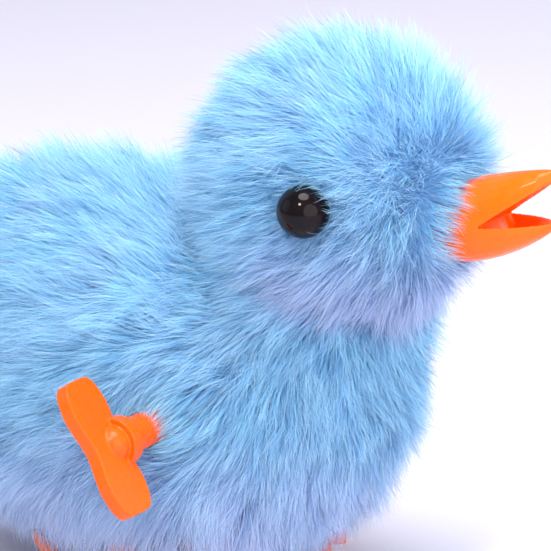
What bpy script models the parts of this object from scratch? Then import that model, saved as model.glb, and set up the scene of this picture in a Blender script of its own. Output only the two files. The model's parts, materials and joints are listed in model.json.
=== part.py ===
"""A wind-up hopping chick: a plush bird with a clockwork gear case, a side key and two cranked feet.

Metres, +Z up, +X the way the chick faces, -Y the key's side. The toy stands on its soles at z = 0.
All parts hang under one empty, which puts the middle of the toy's footprint at the origin.
"""

import math

import bmesh
import bpy
from mathutils import Matrix, Vector
from mathutils.geometry import convex_hull_2d

# Plush shape. HEART is a point inside head, chest and body, from which the skin is measured.
HEART = Vector((0.008, 0.0, 0.051))
FORMS = (
    (Vector((-0.0120, 0.0, 0.0328)), Vector((0.0375, 0.0248, 0.0264))),
    (Vector((0.0171, 0.0, 0.0656)), Vector((0.0199, 0.0198, 0.0194))),
    (Vector((0.0120, 0.0, 0.0455)), Vector((0.0148, 0.0165, 0.0245))),
)
HEAD_CENTRE, HEAD_RADII = FORMS[1]
BLEND = 14
TAIL_AIM = Vector((-0.052, 0.0, 0.0055)).normalized()
TAIL_RISE = 0.0125
TAIL_SPREAD = 0.26
SKIN_GRID = 10
SKIN = 0.0015
SEAM_GAP = 0.0003
STUFFING_INSET = 0.0032
NECK_NORMAL = Vector((0.50, 0.0, 0.87)).normalized()

# Room left in the body filling, as half length, half width and top.
BAY_ROOM = (0.0165, 0.0240, 0.0206)
LEG_ROOM = (0.0085, 0.0173, 0.0405)
KEY_ROOM = 0.0042

# Belly opening and gusset, as half lengths and half widths about the leg bay's middle.
BAY_X = -0.0120
BAY_HALF = (0.0155, 0.0172)
GUSSET_HALF = (0.0235, 0.0206)
GUSSET_TOP = 0.0250

# Face
EYE_TURN = math.radians(76)
EYE_RISE = 0.0010
EYE_RADIUS = 0.0040
EYE_STAND = 0.0017
EYE_BACK = 0.0004
EYE_STEM = 0.0010
EYE_STEM_LENGTH = 0.0075
EYE_WASHER = (0.0042, 0.0010)
EYE_ROOM = (0.0049, 0.0095)
BEAK_ROOT = Vector((0.0370, 0.0, 0.0632))
BEAK_LENGTH = 0.0166
BEAK_INSIDE = 0.0035
BEAK_HALF = 0.0058
BEAK_CORNER = 0.35
BEAK_TOP = (0.0050, 0.0093)
BEAK_BOTTOM = (-0.0068, 0.0000)
UPPER_RIM = 0.0076
LOWER_RIM = 0.0010
BEAK_GAP = 0.0003
BEAK_SHANK = (0.0026, 0.0062)
BEAK_WASHER = (0.0052, 0.0012)
BEAK_WASHER_BACK = 0.0043
BEAK_ROOM = (0.0060, 0.0085)

# Gear train. Every axis lies along Y, and places are (x, z).
MODULE = 0.0006
PRESSURE = math.radians(20)
ADDENDUM = 0.80
DEDENDUM = 1.15
TOOTH_SHARE = 0.40
GREAT_TEETH = 36
FIRST_PINION_TEETH = 10
FIRST_TEETH = 28
SECOND_PINION_TEETH = 10
SECOND_TEETH = 24
CRANK_TEETH = 12
KEY_AXIS = (0.0, 0.0320)
FIRST_ANGLE = math.radians(150)
CRANK_AXIS = (-0.0140, 0.0205)
GREAT_Y = (-0.0029, -0.0015)
RATCHET_Y = (-0.0012, -0.0002)
FIRST_WHEEL_Y = (0.0015, 0.0029)
SECOND_WHEEL_Y = (0.0042, 0.0056)
CRANK_PINION_Y = (0.0039, 0.0060)
SPRING_Y = (-0.0082, -0.0034)
SPRING_RADII = (0.0021, 0.0096)
SPRING_TURNS = 6
SPRING_STRIP = 0.0003
RATCHET_TEETH = 10
RATCHET_RADII = (0.0034, 0.0046)
CLICK_PIVOT = 0.0078
CLICK_PIVOT_ANGLE = math.radians(200)
CLICK_TIP_ANGLE = math.radians(152)
CLICK_LIFT = 0.0008
CLICK_POST = 0.0007
ARBOR = 0.0012
AXLE = 0.00075
CRANK_AXLE = 0.0010
SHAFT_GAP = 0.00013

# Gear case
CASE_HALF = 0.0100
CASE_WALL = 0.0012
CASE_CORNERS = ((0.0086, 0.0216), (-0.0255, 0.0210), (-0.0246, 0.0425), (0.0015, 0.0473))
CORNER_RADIUS = 0.0030
WHEEL_ROOM = 0.0022
BOSS_RADIUS = 0.0017
SCREW_RADIUS = 0.0008
SCREW_HEAD = (0.0017, 0.0011)
GUIDE_Z = 0.0310
GUIDE_POST = 0.0012
GUIDE_POST_END = 0.0152

# Cranks and legs
THROW = 0.0022
CRANK_DISC = (0.0046, 0.0104, 0.0120)
CRANK_PIN = 0.0011
CRANK_PIN_END = 0.0162
LEG_Y = (0.0125, 0.0145)
LEG_WIDTH = 0.0048
LEG_EYE = (0.0056, 0.0038)
PIN_CAP = (0.0023, 0.0148, 0.0160)
SOLE = 0.0028
FOOT_Y = 0.0145
TOE_ANGLES = (math.radians(-27), 0.0, math.radians(27))
TOE_REACH = 0.0215
PALM_REACH = 0.0075
TOE_WIDTH = math.radians(10.5)
HEEL_REACH = 0.0115
SPUR = (Vector((-0.0105, 0.0, 0.0015)), Vector((-0.0150, 0.0, 0.0066)))
SPUR_RADII = (0.0016, 0.0010)

# Key
KEY_SPAN = 0.0220
KEY_DEPTH = 0.0097
KEY_WAIST = 0.0070
KEY_WAIST_END = 0.62
KEY_THICKNESS = 0.0022
KEY_LEAN = math.radians(31)
KEY_MIDDLE_Y = -0.0412
BARREL = 0.0039
BARREL_Y = (-0.0385, -0.0360)
DOME = 0.0029
DOME_Y = -0.0389
KEY_BORE_END_Y = -0.0303
SLEEVE = 0.0027
SLEEVE_END_Y = -0.0107
KEY_HOLE = 0.0034

ROUND = 24


def clear_scene():
    for old in list(bpy.data.objects):
        bpy.data.objects.remove(old, do_unlink=True)


def new_collection(name):
    made = bpy.data.collections.new(name)
    bpy.context.scene.collection.children.link(made)
    return made


def new_material(name, colour, roughness, metallic=0.0):
    made = bpy.data.materials.new(name)
    made.use_nodes = True
    shader = made.node_tree.nodes["Principled BSDF"]
    shader.inputs["Base Color"].default_value = (*colour, 1.0)
    shader.inputs["Roughness"].default_value = roughness
    shader.inputs["Metallic"].default_value = metallic
    made.diffuse_color = (*colour, 1.0)
    return made


clear_scene()
PARTS = new_collection("hopping_chick")
CUTTERS = new_collection("cutters")
ROOT = bpy.data.objects.new("chick_frame", None)
PARTS.objects.link(ROOT)

PLUSH = new_material("blue_plush", (0.30, 0.58, 0.86), 0.95)
FIBRE = new_material("white_fibre", (0.90, 0.90, 0.88), 1.0)
ORANGE = new_material("orange_plastic", (1.0, 0.23, 0.02), 0.35)
BLACK = new_material("black_bead", (0.012, 0.010, 0.010), 0.08)
CLEAR_WASHER = new_material("white_washer", (0.82, 0.82, 0.80), 0.5)
CASE = new_material("case_plastic", (0.78, 0.78, 0.74), 0.5)
GEAR = new_material("gear_plastic", (0.86, 0.84, 0.76), 0.45)
STEEL = new_material("steel", (0.60, 0.60, 0.62), 0.3, 1.0)
SPRING_STEEL = new_material("spring_steel", (0.35, 0.37, 0.42), 0.35, 1.0)


def add_part(name, mesh, material, origin=(0.0, 0.0, 0.0)):
    """Links a mesh given about origin as a part that stands at origin in the toy's frame."""
    part = bpy.data.objects.new(name, mesh)
    PARTS.objects.link(part)
    part.parent = ROOT
    part.location = origin
    mesh.materials.clear()
    mesh.materials.append(material)
    mesh.shade_smooth()
    mesh.set_sharp_from_angle(angle=math.radians(35))
    return part


def combine(part, operation, mesh, solver="EXACT"):
    """Cuts mesh from the part, joins it on, or keeps what both fill. Both use the part's own origin."""
    helper = bpy.data.objects.new(f"{part.name}_{operation.lower()}", mesh)
    CUTTERS.objects.link(helper)
    helper.parent = ROOT
    helper.location = part.location
    helper.hide_render = True
    helper.display_type = "WIRE"
    modifier = part.modifiers.new(helper.name, "BOOLEAN")
    modifier.operation = operation
    modifier.solver = solver
    modifier.object = helper


def mesh_from(work, name):
    bmesh.ops.recalc_face_normals(work, faces=work.faces)
    mesh = bpy.data.meshes.new(name)
    work.to_mesh(mesh)
    work.free()
    return mesh


def circle(centre, radius, count=ROUND, start=0.0):
    steps = (start + 2 * math.pi * i / count for i in range(count))
    return [(centre[0] + radius * math.cos(a), centre[1] + radius * math.sin(a)) for a in steps]


def hull(discs, grow=0.0, count=ROUND):
    """The outline of a belt pulled tight round the discs, each given as (x, z, radius)."""
    points = [p for x, z, radius in discs for p in circle((x, z), radius + grow, count)]
    order = convex_hull_2d(points)
    return [points[i] for i in order]


def sheet(loops, low, high, name="sheet"):
    """Flat outlines in the XZ plane, the later ones holes in the first, given depth along Y."""
    curve = bpy.data.curves.new(name, "CURVE")
    curve.dimensions = "2D"
    curve.fill_mode = "BOTH"
    curve.extrude = (high - low) / 2
    for loop in loops:
        spline = curve.splines.new("POLY")
        spline.points.add(len(loop) - 1)
        for point, (x, z) in zip(spline.points, loop):
            point.co = (x, z, 0.0, 1.0)
        spline.use_cyclic_u = True
    outline = bpy.data.objects.new(name, curve)
    CUTTERS.objects.link(outline)
    graph = bpy.context.evaluated_depsgraph_get()
    mesh = bpy.data.meshes.new_from_object(outline.evaluated_get(graph))
    bpy.data.objects.remove(outline)
    bpy.data.curves.remove(curve)
    work = bmesh.new()
    work.from_mesh(mesh)
    bmesh.ops.remove_doubles(work, verts=work.verts, dist=1e-6)
    turn = Matrix.Rotation(math.radians(90), 4, "X")
    bmesh.ops.transform(work, matrix=Matrix.Translation((0, (low + high) / 2, 0)) @ turn, verts=work.verts)
    bpy.data.meshes.remove(mesh)
    return mesh_from(work, name)


def rod(radius, start, end, count=ROUND, end_radius=None):
    """A cylinder, or a cone, from start to end."""
    start, end = Vector(start), Vector(end)
    along = end - start
    work = bmesh.new()
    bmesh.ops.create_cone(
        work,
        cap_ends=True,
        segments=count,
        radius1=radius,
        radius2=radius if end_radius is None else end_radius,
        depth=along.length,
    )
    turn = Vector((0, 0, 1)).rotation_difference(along).to_matrix().to_4x4()
    bmesh.ops.transform(work, matrix=Matrix.Translation((start + end) / 2) @ turn, verts=work.verts)
    return mesh_from(work, "rod")


def shaft(radius, low, high, at=(0.0, 0.0), count=16):
    """A cylinder along Y about (x, z)."""
    return rod(radius, (at[0], low, at[1]), (at[0], high, at[1]), count)


def ball(radius, centre, stretch=(1.0, 1.0, 1.0), count=16):
    work = bmesh.new()
    bmesh.ops.create_uvsphere(work, u_segments=count, v_segments=count // 2, radius=radius)
    grow = Matrix.Diagonal((*stretch, 1.0))
    bmesh.ops.transform(work, matrix=Matrix.Translation(centre) @ grow, verts=work.verts)
    return mesh_from(work, "ball")


def block(low, high):
    work = bmesh.new()
    bmesh.ops.create_cube(work, size=1.0)
    size = Vector(high) - Vector(low)
    middle = (Vector(high) + Vector(low)) / 2
    bmesh.ops.transform(
        work,
        matrix=Matrix.Translation(middle) @ Matrix.Diagonal((*size, 1.0)),
        verts=work.verts,
    )
    return mesh_from(work, "block")


# ---------------------------------------------------------------- plush


def leave_distance(direction, centre, radii):
    """How far from HEART, along direction, a line leaves the ellipsoid."""
    start = Vector(((HEART[i] - centre[i]) / radii[i] for i in range(3)))
    way = Vector((direction[i] / radii[i] for i in range(3)))
    a = way.dot(way)
    b = start.dot(way)
    c = start.dot(start) - 1.0
    return (-b + math.sqrt(b * b - a * c)) / a


def skin_reach(direction):
    """Distance from HEART to the plush's outer face: the forms blended, and the tail on top."""
    total = sum(leave_distance(direction, centre, radii) ** BLEND for centre, radii in FORMS)
    off = direction.angle(TAIL_AIM)
    return total ** (1 / BLEND) + TAIL_RISE * math.exp(-((off / TAIL_SPREAD) ** 2))


def skin_form(inset=0.0, grid=SKIN_GRID):
    """The whole plush bird as one closed surface, moved in by inset."""
    work = bmesh.new()
    bmesh.ops.create_cube(work, size=2.0)
    bmesh.ops.subdivide_edges(work, edges=work.edges, cuts=grid - 1, use_grid_fill=True)
    for vertex in work.verts:
        spread = Vector([math.tan(c * math.pi / 4) for c in vertex.co])
        direction = spread.normalized()
        vertex.co = HEART + direction * skin_reach(direction)
    bmesh.ops.recalc_face_normals(work, faces=work.faces)
    work.normal_update()
    normals = [vertex.normal.copy() for vertex in work.verts]
    for vertex, normal in zip(work.verts, normals):
        vertex.co -= normal * inset
    return work


def keep_side(work, point, normal):
    """Keeps the side of the plane that normal points to, and closes the cut."""
    everything = work.verts[:] + work.edges[:] + work.faces[:]
    done = bmesh.ops.bisect_plane(
        work, geom=everything, plane_co=point, plane_no=normal, clear_inner=True, dist=1e-6
    )
    rim = [e for e in done["geom_cut"] if isinstance(e, bmesh.types.BMEdge)]
    bmesh.ops.triangle_fill(work, edges=rim, use_beauty=True)


def bay_outline(half, grow=0.0, corner=0.006):
    corners = [
        (BAY_X + sx * (half[0] - corner), sy * (half[1] - corner), corner)
        for sx in (-1, 1)
        for sy in (-1, 1)
    ]
    return hull(corners, grow, 12)


def column(half, low, high, grow=0.0):
    """An upright column under the belly, used to cut the gusset and the opening for the legs."""
    mesh = sheet([bay_outline(half, grow)], -high, -low)
    mesh.transform(Matrix.Rotation(math.radians(-90), 4, "X"))
    return mesh


def eye_frame(side):
    """The eye's place on the head and the way it looks out."""
    out = Vector((math.cos(EYE_TURN), side * math.sin(EYE_TURN), 0.0))
    on_head = HEAD_CENTRE + Vector((out[i] * HEAD_RADII[i] for i in range(3)))
    on_head.z += EYE_RISE
    return HEART + reach_to(on_head), out


def reach_to(target):
    """From HEART to the plush's outer face, on the line towards target."""
    direction = (target - HEART).normalized()
    return direction * skin_reach(direction)


def cut_face_holes(part, side):
    place, out = eye_frame(side)
    stem_hole = rod(EYE_STEM + 0.0003, place - out * 0.006, place + out * 0.004, 12)
    combine(part, "DIFFERENCE", stem_hole, "MANIFOLD")
    shank_hole = rod(BEAK_SHANK[0] + BEAK_GAP, (-0.008, 0, 0), (0.004, 0, 0), 16)
    shank_hole.transform(Matrix.Translation(BEAK_ROOT))
    combine(part, "DIFFERENCE", shank_hole, "MANIFOLD")


def add_skin(name):
    """The bird's whole skin as a hollow shell, still to be cut into a panel."""
    panel = add_part(name, mesh_from(skin_form(), name), PLUSH)
    shell = panel.modifiers.new("thickness", "SOLIDIFY")
    shell.thickness = SKIN
    shell.offset = -1.0
    shell.use_even_offset = False
    return panel


def make_side_panel(name, side):
    panel = add_skin(name)
    past_seam = sorted((-side * 0.06, side * SEAM_GAP / 2))
    combine(panel, "DIFFERENCE", block((-0.09, past_seam[0], -0.01), (0.09, past_seam[1], 0.12)))
    combine(panel, "DIFFERENCE", column(GUSSET_HALF, -0.002, GUSSET_TOP + SEAM_GAP, SEAM_GAP))
    cut_face_holes(panel, side)
    if side < 0:
        combine(panel, "DIFFERENCE", shaft(KEY_HOLE, -0.035, -0.012, KEY_AXIS), "MANIFOLD")
    return panel


def make_belly():
    belly = add_skin("plush_belly")
    combine(belly, "INTERSECT", column(GUSSET_HALF, -0.004, GUSSET_TOP))
    combine(belly, "DIFFERENCE", column(BAY_HALF, -0.006, GUSSET_TOP + 0.01))
    return belly


def room_block(x, room, low):
    """A block about x with a half length, a half width and a top, from low up."""
    length, width, top = room
    return block((x - length, -width, low), (x + length, width, top))


def make_stuffing():
    """Two wads of fibre, split across the neck, with room for the clockwork, the washers and stems."""
    point = HEART + NECK_NORMAL * SEAM_GAP / 2
    work = skin_form(STUFFING_INSET, SKIN_GRID - 2)
    keep_side(work, point, NECK_NORMAL)
    head = add_part("head_stuffing", mesh_from(work, "head_stuffing"), FIBRE)
    for side in (-1, 1):
        place, out = eye_frame(side)
        radius, depth = EYE_ROOM
        combine(head, "DIFFERENCE", rod(radius, place - out * depth, place + out * 0.002, 12))
    radius, depth = BEAK_ROOM
    hollow = rod(radius, (-depth, 0, 0), (0.006, 0, 0), 16)
    hollow.transform(Matrix.Translation(BEAK_ROOT))
    combine(head, "DIFFERENCE", hollow)
    work = skin_form(STUFFING_INSET, SKIN_GRID - 2)
    keep_side(work, HEART - NECK_NORMAL * SEAM_GAP / 2, -NECK_NORMAL)
    body = add_part("body_stuffing", mesh_from(work, "body_stuffing"), FIBRE)
    room = CASE_HALF + 0.0020
    low_room = [(x, z - 0.03, radius) for x, z, radius in case_discs()]
    for cutter in (
        sheet([hull(case_discs() + low_room, 0.0007, 12)], -room, room),
        room_block(BAY_X, BAY_ROOM, -0.01),
        room_block(CRANK_AXIS[0], LEG_ROOM, BAY_ROOM[2] - 0.0016),
        shaft(KEY_ROOM, -0.035, -0.009, KEY_AXIS),
    ):
        combine(body, "DIFFERENCE", cutter, "MANIFOLD")


# ---------------------------------------------------------------- face


def make_eyes():
    for side, word in ((1, "left"), (-1, "right")):
        place, out = eye_frame(side)
        eye = add_part(f"eye_{word}", ball(EYE_RADIUS, out * EYE_STAND, count=20), BLACK, place)
        combine(eye, "DIFFERENCE", rod(0.008, out * -0.010, out * EYE_BACK, 12))
        combine(eye, "UNION", rod(EYE_STEM, out * -EYE_STEM_LENGTH, out * 0.002, 12))
        radius, thickness = EYE_WASHER
        back = -SKIN - 0.0014
        disc = rod(radius, out * back, out * (back - thickness), 20)
        washer = add_part(f"eye_washer_{word}", disc, CLEAR_WASHER, place)
        combine(washer, "DIFFERENCE", rod(EYE_STEM + 0.0002, out * -0.008, out * 0.001, 12))


def beak_half(t):
    """The beak's half width, t of the way from the head to the tips."""
    return BEAK_HALF * max(max(1 - t**3, 0.0) ** 0.8, 0.10)


def jaw_edges(up, t):
    """Heights of a jaw's rim and of its ridge over BEAK_ROOT. The jaws part at the mouth's corner."""
    apart = max(0.0, (t - BEAK_CORNER) / (1 - BEAK_CORNER))
    if up > 0:
        rim = UPPER_RIM * apart - 0.0001
        ridge = BEAK_TOP[0] + (BEAK_TOP[1] - BEAK_TOP[0]) * t**0.65
    else:
        rim = LOWER_RIM * apart + 0.0001
        ridge = BEAK_BOTTOM[0] + (BEAK_BOTTOM[1] - BEAK_BOTTOM[0]) * t**1.9
    close = 0.55 * max(0.0, (t - 0.93) / 0.07) ** 2
    return rim, ridge + (rim - ridge) * close


def mandible(up):
    """One jaw: a scoop that narrows to a blunt tip, as rings of an outer and an inner arch."""
    work = bmesh.new()
    rings = []
    outer, inner = 12, 6
    for t in (-BEAK_INSIDE / BEAK_LENGTH, 0.0, 0.13, 0.25, BEAK_CORNER, 0.48, 0.62, 0.74, 0.86, 0.95, 1.0):
        rim, ridge = jaw_edges(up, max(t, 0.0))
        half = beak_half(max(t, 0.0))
        depth = ridge - rim
        open_share = min(1.0, max(0.0, (t - BEAK_CORNER) / 0.12))
        scoop = depth * 0.55 * open_share * (1 - 0.6 * max(0.0, t - 0.8) / 0.2)
        x = BEAK_LENGTH * t
        ring = []
        for k in range(outer + 1):
            a = math.pi * k / outer
            ring.append((x, half * math.cos(a), rim + depth * math.sin(a) ** 0.9))
        for k in range(1, inner):
            a = math.pi * (1 - k / inner)
            ring.append((x, half * 0.78 * math.cos(a), rim + scoop * math.sin(a)))
        rings.append([work.verts.new(place) for place in ring])
    for low, high in zip(rings, rings[1:]):
        for k in range(len(low)):
            j = (k + 1) % len(low)
            work.faces.new((low[k], low[j], high[j], high[k]))
    work.faces.new(rings[0])
    work.faces.new(rings[-1])
    return mesh_from(work, "mandible")


def make_beak():
    """Two open jaws and a shank in one moulding, with a back that follows the cloth."""
    beak = add_part("beak", mandible(1), ORANGE, BEAK_ROOT)
    combine(beak, "UNION", mandible(-1))
    head = mesh_from(skin_form(-BEAK_GAP), "head_form")
    head.transform(Matrix.Translation(-BEAK_ROOT))
    combine(beak, "DIFFERENCE", head)
    radius, length = BEAK_SHANK
    combine(beak, "UNION", rod(radius, (-length, 0, 0), (0.002, 0, 0), 16))
    radius, thickness = BEAK_WASHER
    disc = rod(radius, (-BEAK_WASHER_BACK, 0, 0), (-BEAK_WASHER_BACK - thickness, 0, 0), 20)
    washer = add_part("beak_washer", disc, CLEAR_WASHER, BEAK_ROOT)
    hole = rod(BEAK_SHANK[0] + BEAK_GAP, (-2 * BEAK_WASHER_BACK, 0, 0), (0, 0, 0), 16)
    combine(washer, "DIFFERENCE", hole)


# ---------------------------------------------------------------- clockwork


def meet(a, reach_a, b, reach_b):
    """The point reach_a from a and reach_b from b, on the side towards -X."""
    ax, az = a
    dx, dz = b[0] - ax, b[1] - az
    apart = math.hypot(dx, dz)
    along = (reach_a**2 - reach_b**2 + apart**2) / (2 * apart)
    aside = math.sqrt(reach_a**2 - along**2)
    ux, uz = dx / apart, dz / apart
    return (ax + along * ux + aside * uz, az + along * uz - aside * ux)


def spacing(teeth_a, teeth_b):
    return MODULE * (teeth_a + teeth_b) / 2


FIRST_REACH = spacing(GREAT_TEETH, FIRST_PINION_TEETH)
FIRST_AXIS = (
    KEY_AXIS[0] + FIRST_REACH * math.cos(FIRST_ANGLE),
    KEY_AXIS[1] + FIRST_REACH * math.sin(FIRST_ANGLE),
)
SECOND_AXIS = meet(
    FIRST_AXIS,
    spacing(FIRST_TEETH, SECOND_PINION_TEETH),
    CRANK_AXIS,
    spacing(SECOND_TEETH, CRANK_TEETH),
)


def involute(angle):
    return math.tan(angle) - angle


def gear_outline(teeth, phase, flank=1):
    """A gear's outline about its own centre, with a tooth's middle at phase."""
    pitch = MODULE * teeth / 2
    base = pitch * math.cos(PRESSURE)
    tip = pitch + ADDENDUM * MODULE
    root = pitch - DEDENDUM * MODULE
    start = max(base * 1.001, root)
    half_at_pitch = TOOTH_SHARE * math.pi / teeth

    def half_angle(radius):
        return half_at_pitch + involute(PRESSURE) - involute(math.acos(min(base / radius, 1.0)))

    side = [(root, half_angle(start) + 0.10 / teeth)]
    for i in range(flank + 1):
        radius = start + (tip - start) * i / flank
        side.append((radius, half_angle(radius)))
    points = []
    for n in range(teeth):
        middle = phase + 2 * math.pi * n / teeth
        polar = [(r, middle - a) for r, a in side] + [(r, middle + a) for r, a in reversed(side)]
        points += [(r * math.cos(a), r * math.sin(a)) for r, a in polar]
    return points


def facing(a, b):
    return math.atan2(b[1] - a[1], b[0] - a[0])


def meshing_phase(driver, driver_teeth, driver_phase, driven, driven_teeth):
    """The phase that puts a gap of the driven gear against a tooth of the driver."""
    line = facing(driver, driven)
    turns = (line - driver_phase) * driver_teeth / (2 * math.pi)
    return line + math.pi - (0.5 - turns) * 2 * math.pi / driven_teeth


def add_gear(name, axis, layers, bore, material=GEAR):
    """A gear or a compound gear: layers are (outline, low y, high y), joined, with one bore."""
    outline, low, high = layers[0]
    gear = add_part(name, sheet([outline], low, high, name), material, (axis[0], 0, axis[1]))
    for outline, low, high in layers[1:]:
        combine(gear, "UNION", sheet([outline], low, high))
    combine(gear, "DIFFERENCE", shaft(bore, -0.02, 0.02))
    return gear


def make_gears():
    second_phase = meshing_phase(CRANK_AXIS, CRANK_TEETH, 0.0, SECOND_AXIS, SECOND_TEETH)
    first_phase = meshing_phase(SECOND_AXIS, SECOND_PINION_TEETH, 0.0, FIRST_AXIS, FIRST_TEETH)
    great_phase = meshing_phase(FIRST_AXIS, FIRST_PINION_TEETH, 0.0, KEY_AXIS, GREAT_TEETH)
    add_gear(
        "crank_pinion",
        CRANK_AXIS,
        [(gear_outline(CRANK_TEETH, 0.0), *CRANK_PINION_Y)],
        CRANK_AXLE + SHAFT_GAP,
    )
    add_gear(
        "second_wheel",
        SECOND_AXIS,
        [
            (gear_outline(SECOND_TEETH, second_phase), *SECOND_WHEEL_Y),
            (gear_outline(SECOND_PINION_TEETH, 0.0), 0.0012, 0.0045),
        ],
        AXLE + SHAFT_GAP,
    )
    add_gear(
        "first_wheel",
        FIRST_AXIS,
        [
            (gear_outline(FIRST_TEETH, first_phase), *FIRST_WHEEL_Y),
            (gear_outline(FIRST_PINION_TEETH, 0.0), -0.0031, 0.0018),
        ],
        AXLE + SHAFT_GAP,
    )
    great = add_gear(
        "great_wheel",
        KEY_AXIS,
        [(gear_outline(GREAT_TEETH, great_phase), *GREAT_Y)],
        ARBOR + SHAFT_GAP,
    )
    post = polar(CLICK_PIVOT, CLICK_PIVOT_ANGLE)
    combine(great, "UNION", shaft(CLICK_POST, GREAT_Y[0] + 0.0004, RATCHET_Y[1], post, 12))


def polar(radius, angle):
    return (radius * math.cos(angle), radius * math.sin(angle))


def make_arbors():
    add_part(
        "winding_arbor",
        shaft(ARBOR, -0.0300, CASE_HALF - 0.0001),
        STEEL,
        (KEY_AXIS[0], 0, KEY_AXIS[1]),
    )
    for name, axis in (("first_axle", FIRST_AXIS), ("second_axle", SECOND_AXIS)):
        end = CASE_HALF - 0.0001
        add_part(name, shaft(AXLE, -end, end, count=12), STEEL, (axis[0], 0, axis[1]))
    end = CRANK_DISC[2]
    add_part("crank_axle", shaft(CRANK_AXLE, -end, end), STEEL, (CRANK_AXIS[0], 0, CRANK_AXIS[1]))


def make_ratchet():
    low, high = RATCHET_RADII
    outline = []
    pitch = 2 * math.pi / RATCHET_TEETH
    for n in range(RATCHET_TEETH):
        outline.append(polar(low, n * pitch))
        outline.append(polar((low + high) / 2, (n + 0.5) * pitch))
        outline.append(polar(high, (n + 0.96) * pitch))
    add_gear("ratchet_wheel", KEY_AXIS, [(outline, *RATCHET_Y)], ARBOR + SHAFT_GAP)
    pivot = polar(CLICK_PIVOT, CLICK_PIVOT_ANGLE)
    tip = polar(RATCHET_RADII[1] + CLICK_LIFT, CLICK_TIP_ANGLE)
    discs = [(0.0, 0.0, 0.0014), (tip[0] - pivot[0], tip[1] - pivot[1], 0.0004)]
    place = (KEY_AXIS[0] + pivot[0], 0, KEY_AXIS[1] + pivot[1])
    outline = [hull(discs, 0.0, 12), circle((0, 0), CLICK_POST + SHAFT_GAP, 12)]
    add_part("click", sheet(outline, *RATCHET_Y, "click"), GEAR, place)


def make_mainspring():
    """A flat strip wound on the arbor, with a hooked end at each side."""
    inner, outer = SPRING_RADII
    count = SPRING_TURNS * 14
    curve = bpy.data.curves.new("mainspring", "CURVE")
    curve.dimensions = "3D"
    curve.extrude = (SPRING_Y[1] - SPRING_Y[0]) / 2
    spline = curve.splines.new("POLY")
    spline.points.add(count)
    for i, point in enumerate(spline.points):
        t = i / count
        x, z = polar(inner + (outer - inner) * t, 2 * math.pi * SPRING_TURNS * t)
        point.co = (x, z, 0.0, 1.0)
    strip = bpy.data.objects.new("strip", curve)
    CUTTERS.objects.link(strip)
    graph = bpy.context.evaluated_depsgraph_get()
    mesh = bpy.data.meshes.new_from_object(strip.evaluated_get(graph))
    bpy.data.objects.remove(strip)
    middle = Matrix.Translation((0, sum(SPRING_Y) / 2, 0))
    mesh.transform(middle @ Matrix.Rotation(math.radians(90), 4, "X"))
    spring = add_part("mainspring", mesh, SPRING_STEEL, (KEY_AXIS[0], 0, KEY_AXIS[1]))
    thick = spring.modifiers.new("strip", "SOLIDIFY")
    thick.thickness = SPRING_STRIP
    thick.offset = 0.0


def case_discs():
    """The discs that the case's outline runs round: its corners, and each wheel with room to turn."""
    discs = [(x, z, CORNER_RADIUS) for x, z in CASE_CORNERS]
    for axis, teeth in (
        (KEY_AXIS, GREAT_TEETH),
        (FIRST_AXIS, FIRST_TEETH),
        (SECOND_AXIS, SECOND_TEETH),
        (CRANK_AXIS, CRANK_TEETH),
    ):
        discs.append((*axis, MODULE * teeth / 2 + WHEEL_ROOM))
    return discs


def make_case():
    inner = hull(case_discs(), -CASE_WALL, 20)
    outer = hull(case_discs(), 0.0, 20)
    face = CASE_HALF - CASE_WALL
    for side, word in ((1, "left"), (-1, "right")):
        shell = sheet([outer], *sorted((side * SEAM_GAP / 2, side * CASE_HALF)), "case")
        case = add_part(f"case_{word}", shell, CASE)
        combine(case, "DIFFERENCE", sheet([inner], *sorted((-side * 0.001, side * face))))
        for at in CASE_CORNERS:
            ends = sorted((side * SEAM_GAP / 2, side * (face + 0.0004)))
            combine(case, "UNION", shaft(BOSS_RADIUS, *ends, at, 12))
        combine(case, "UNION", guide_post(side))
        for axis, radius in (
            (KEY_AXIS, ARBOR),
            (FIRST_AXIS, AXLE),
            (SECOND_AXIS, AXLE),
            (CRANK_AXIS, CRANK_AXLE),
        ):
            ends = sorted((side * (face - 0.001), side * (CASE_HALF + 0.001)))
            combine(case, "DIFFERENCE", shaft(radius + SHAFT_GAP, *ends, axis))
        for at in CASE_CORNERS:
            ends = (-0.0062, 0.011) if side > 0 else (-0.0062, 0.001)
            combine(case, "DIFFERENCE", shaft(SCREW_RADIUS + SHAFT_GAP, *ends, at, 12))


def guide_post(side):
    ends = sorted((side * (CASE_HALF - 0.0006), side * GUIDE_POST_END))
    return shaft(GUIDE_POST, *ends, (CRANK_AXIS[0], GUIDE_Z), 16)


def make_screws():
    radius, height = SCREW_HEAD
    for n, at in enumerate(CASE_CORNERS, 1):
        face = CASE_HALF + 0.0002
        head = shaft(radius, face, face + height, count=16)
        screw = add_part(f"case_screw_{n}", head, STEEL, (at[0], 0, at[1]))
        combine(screw, "UNION", shaft(SCREW_RADIUS, -0.0058, face + 0.0004, count=12))
        slot = block((-0.003, face + height * 0.5, -0.00025), (0.003, 0.02, 0.00025))
        combine(screw, "DIFFERENCE", slot)


# ---------------------------------------------------------------- cranks, legs and key


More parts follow.
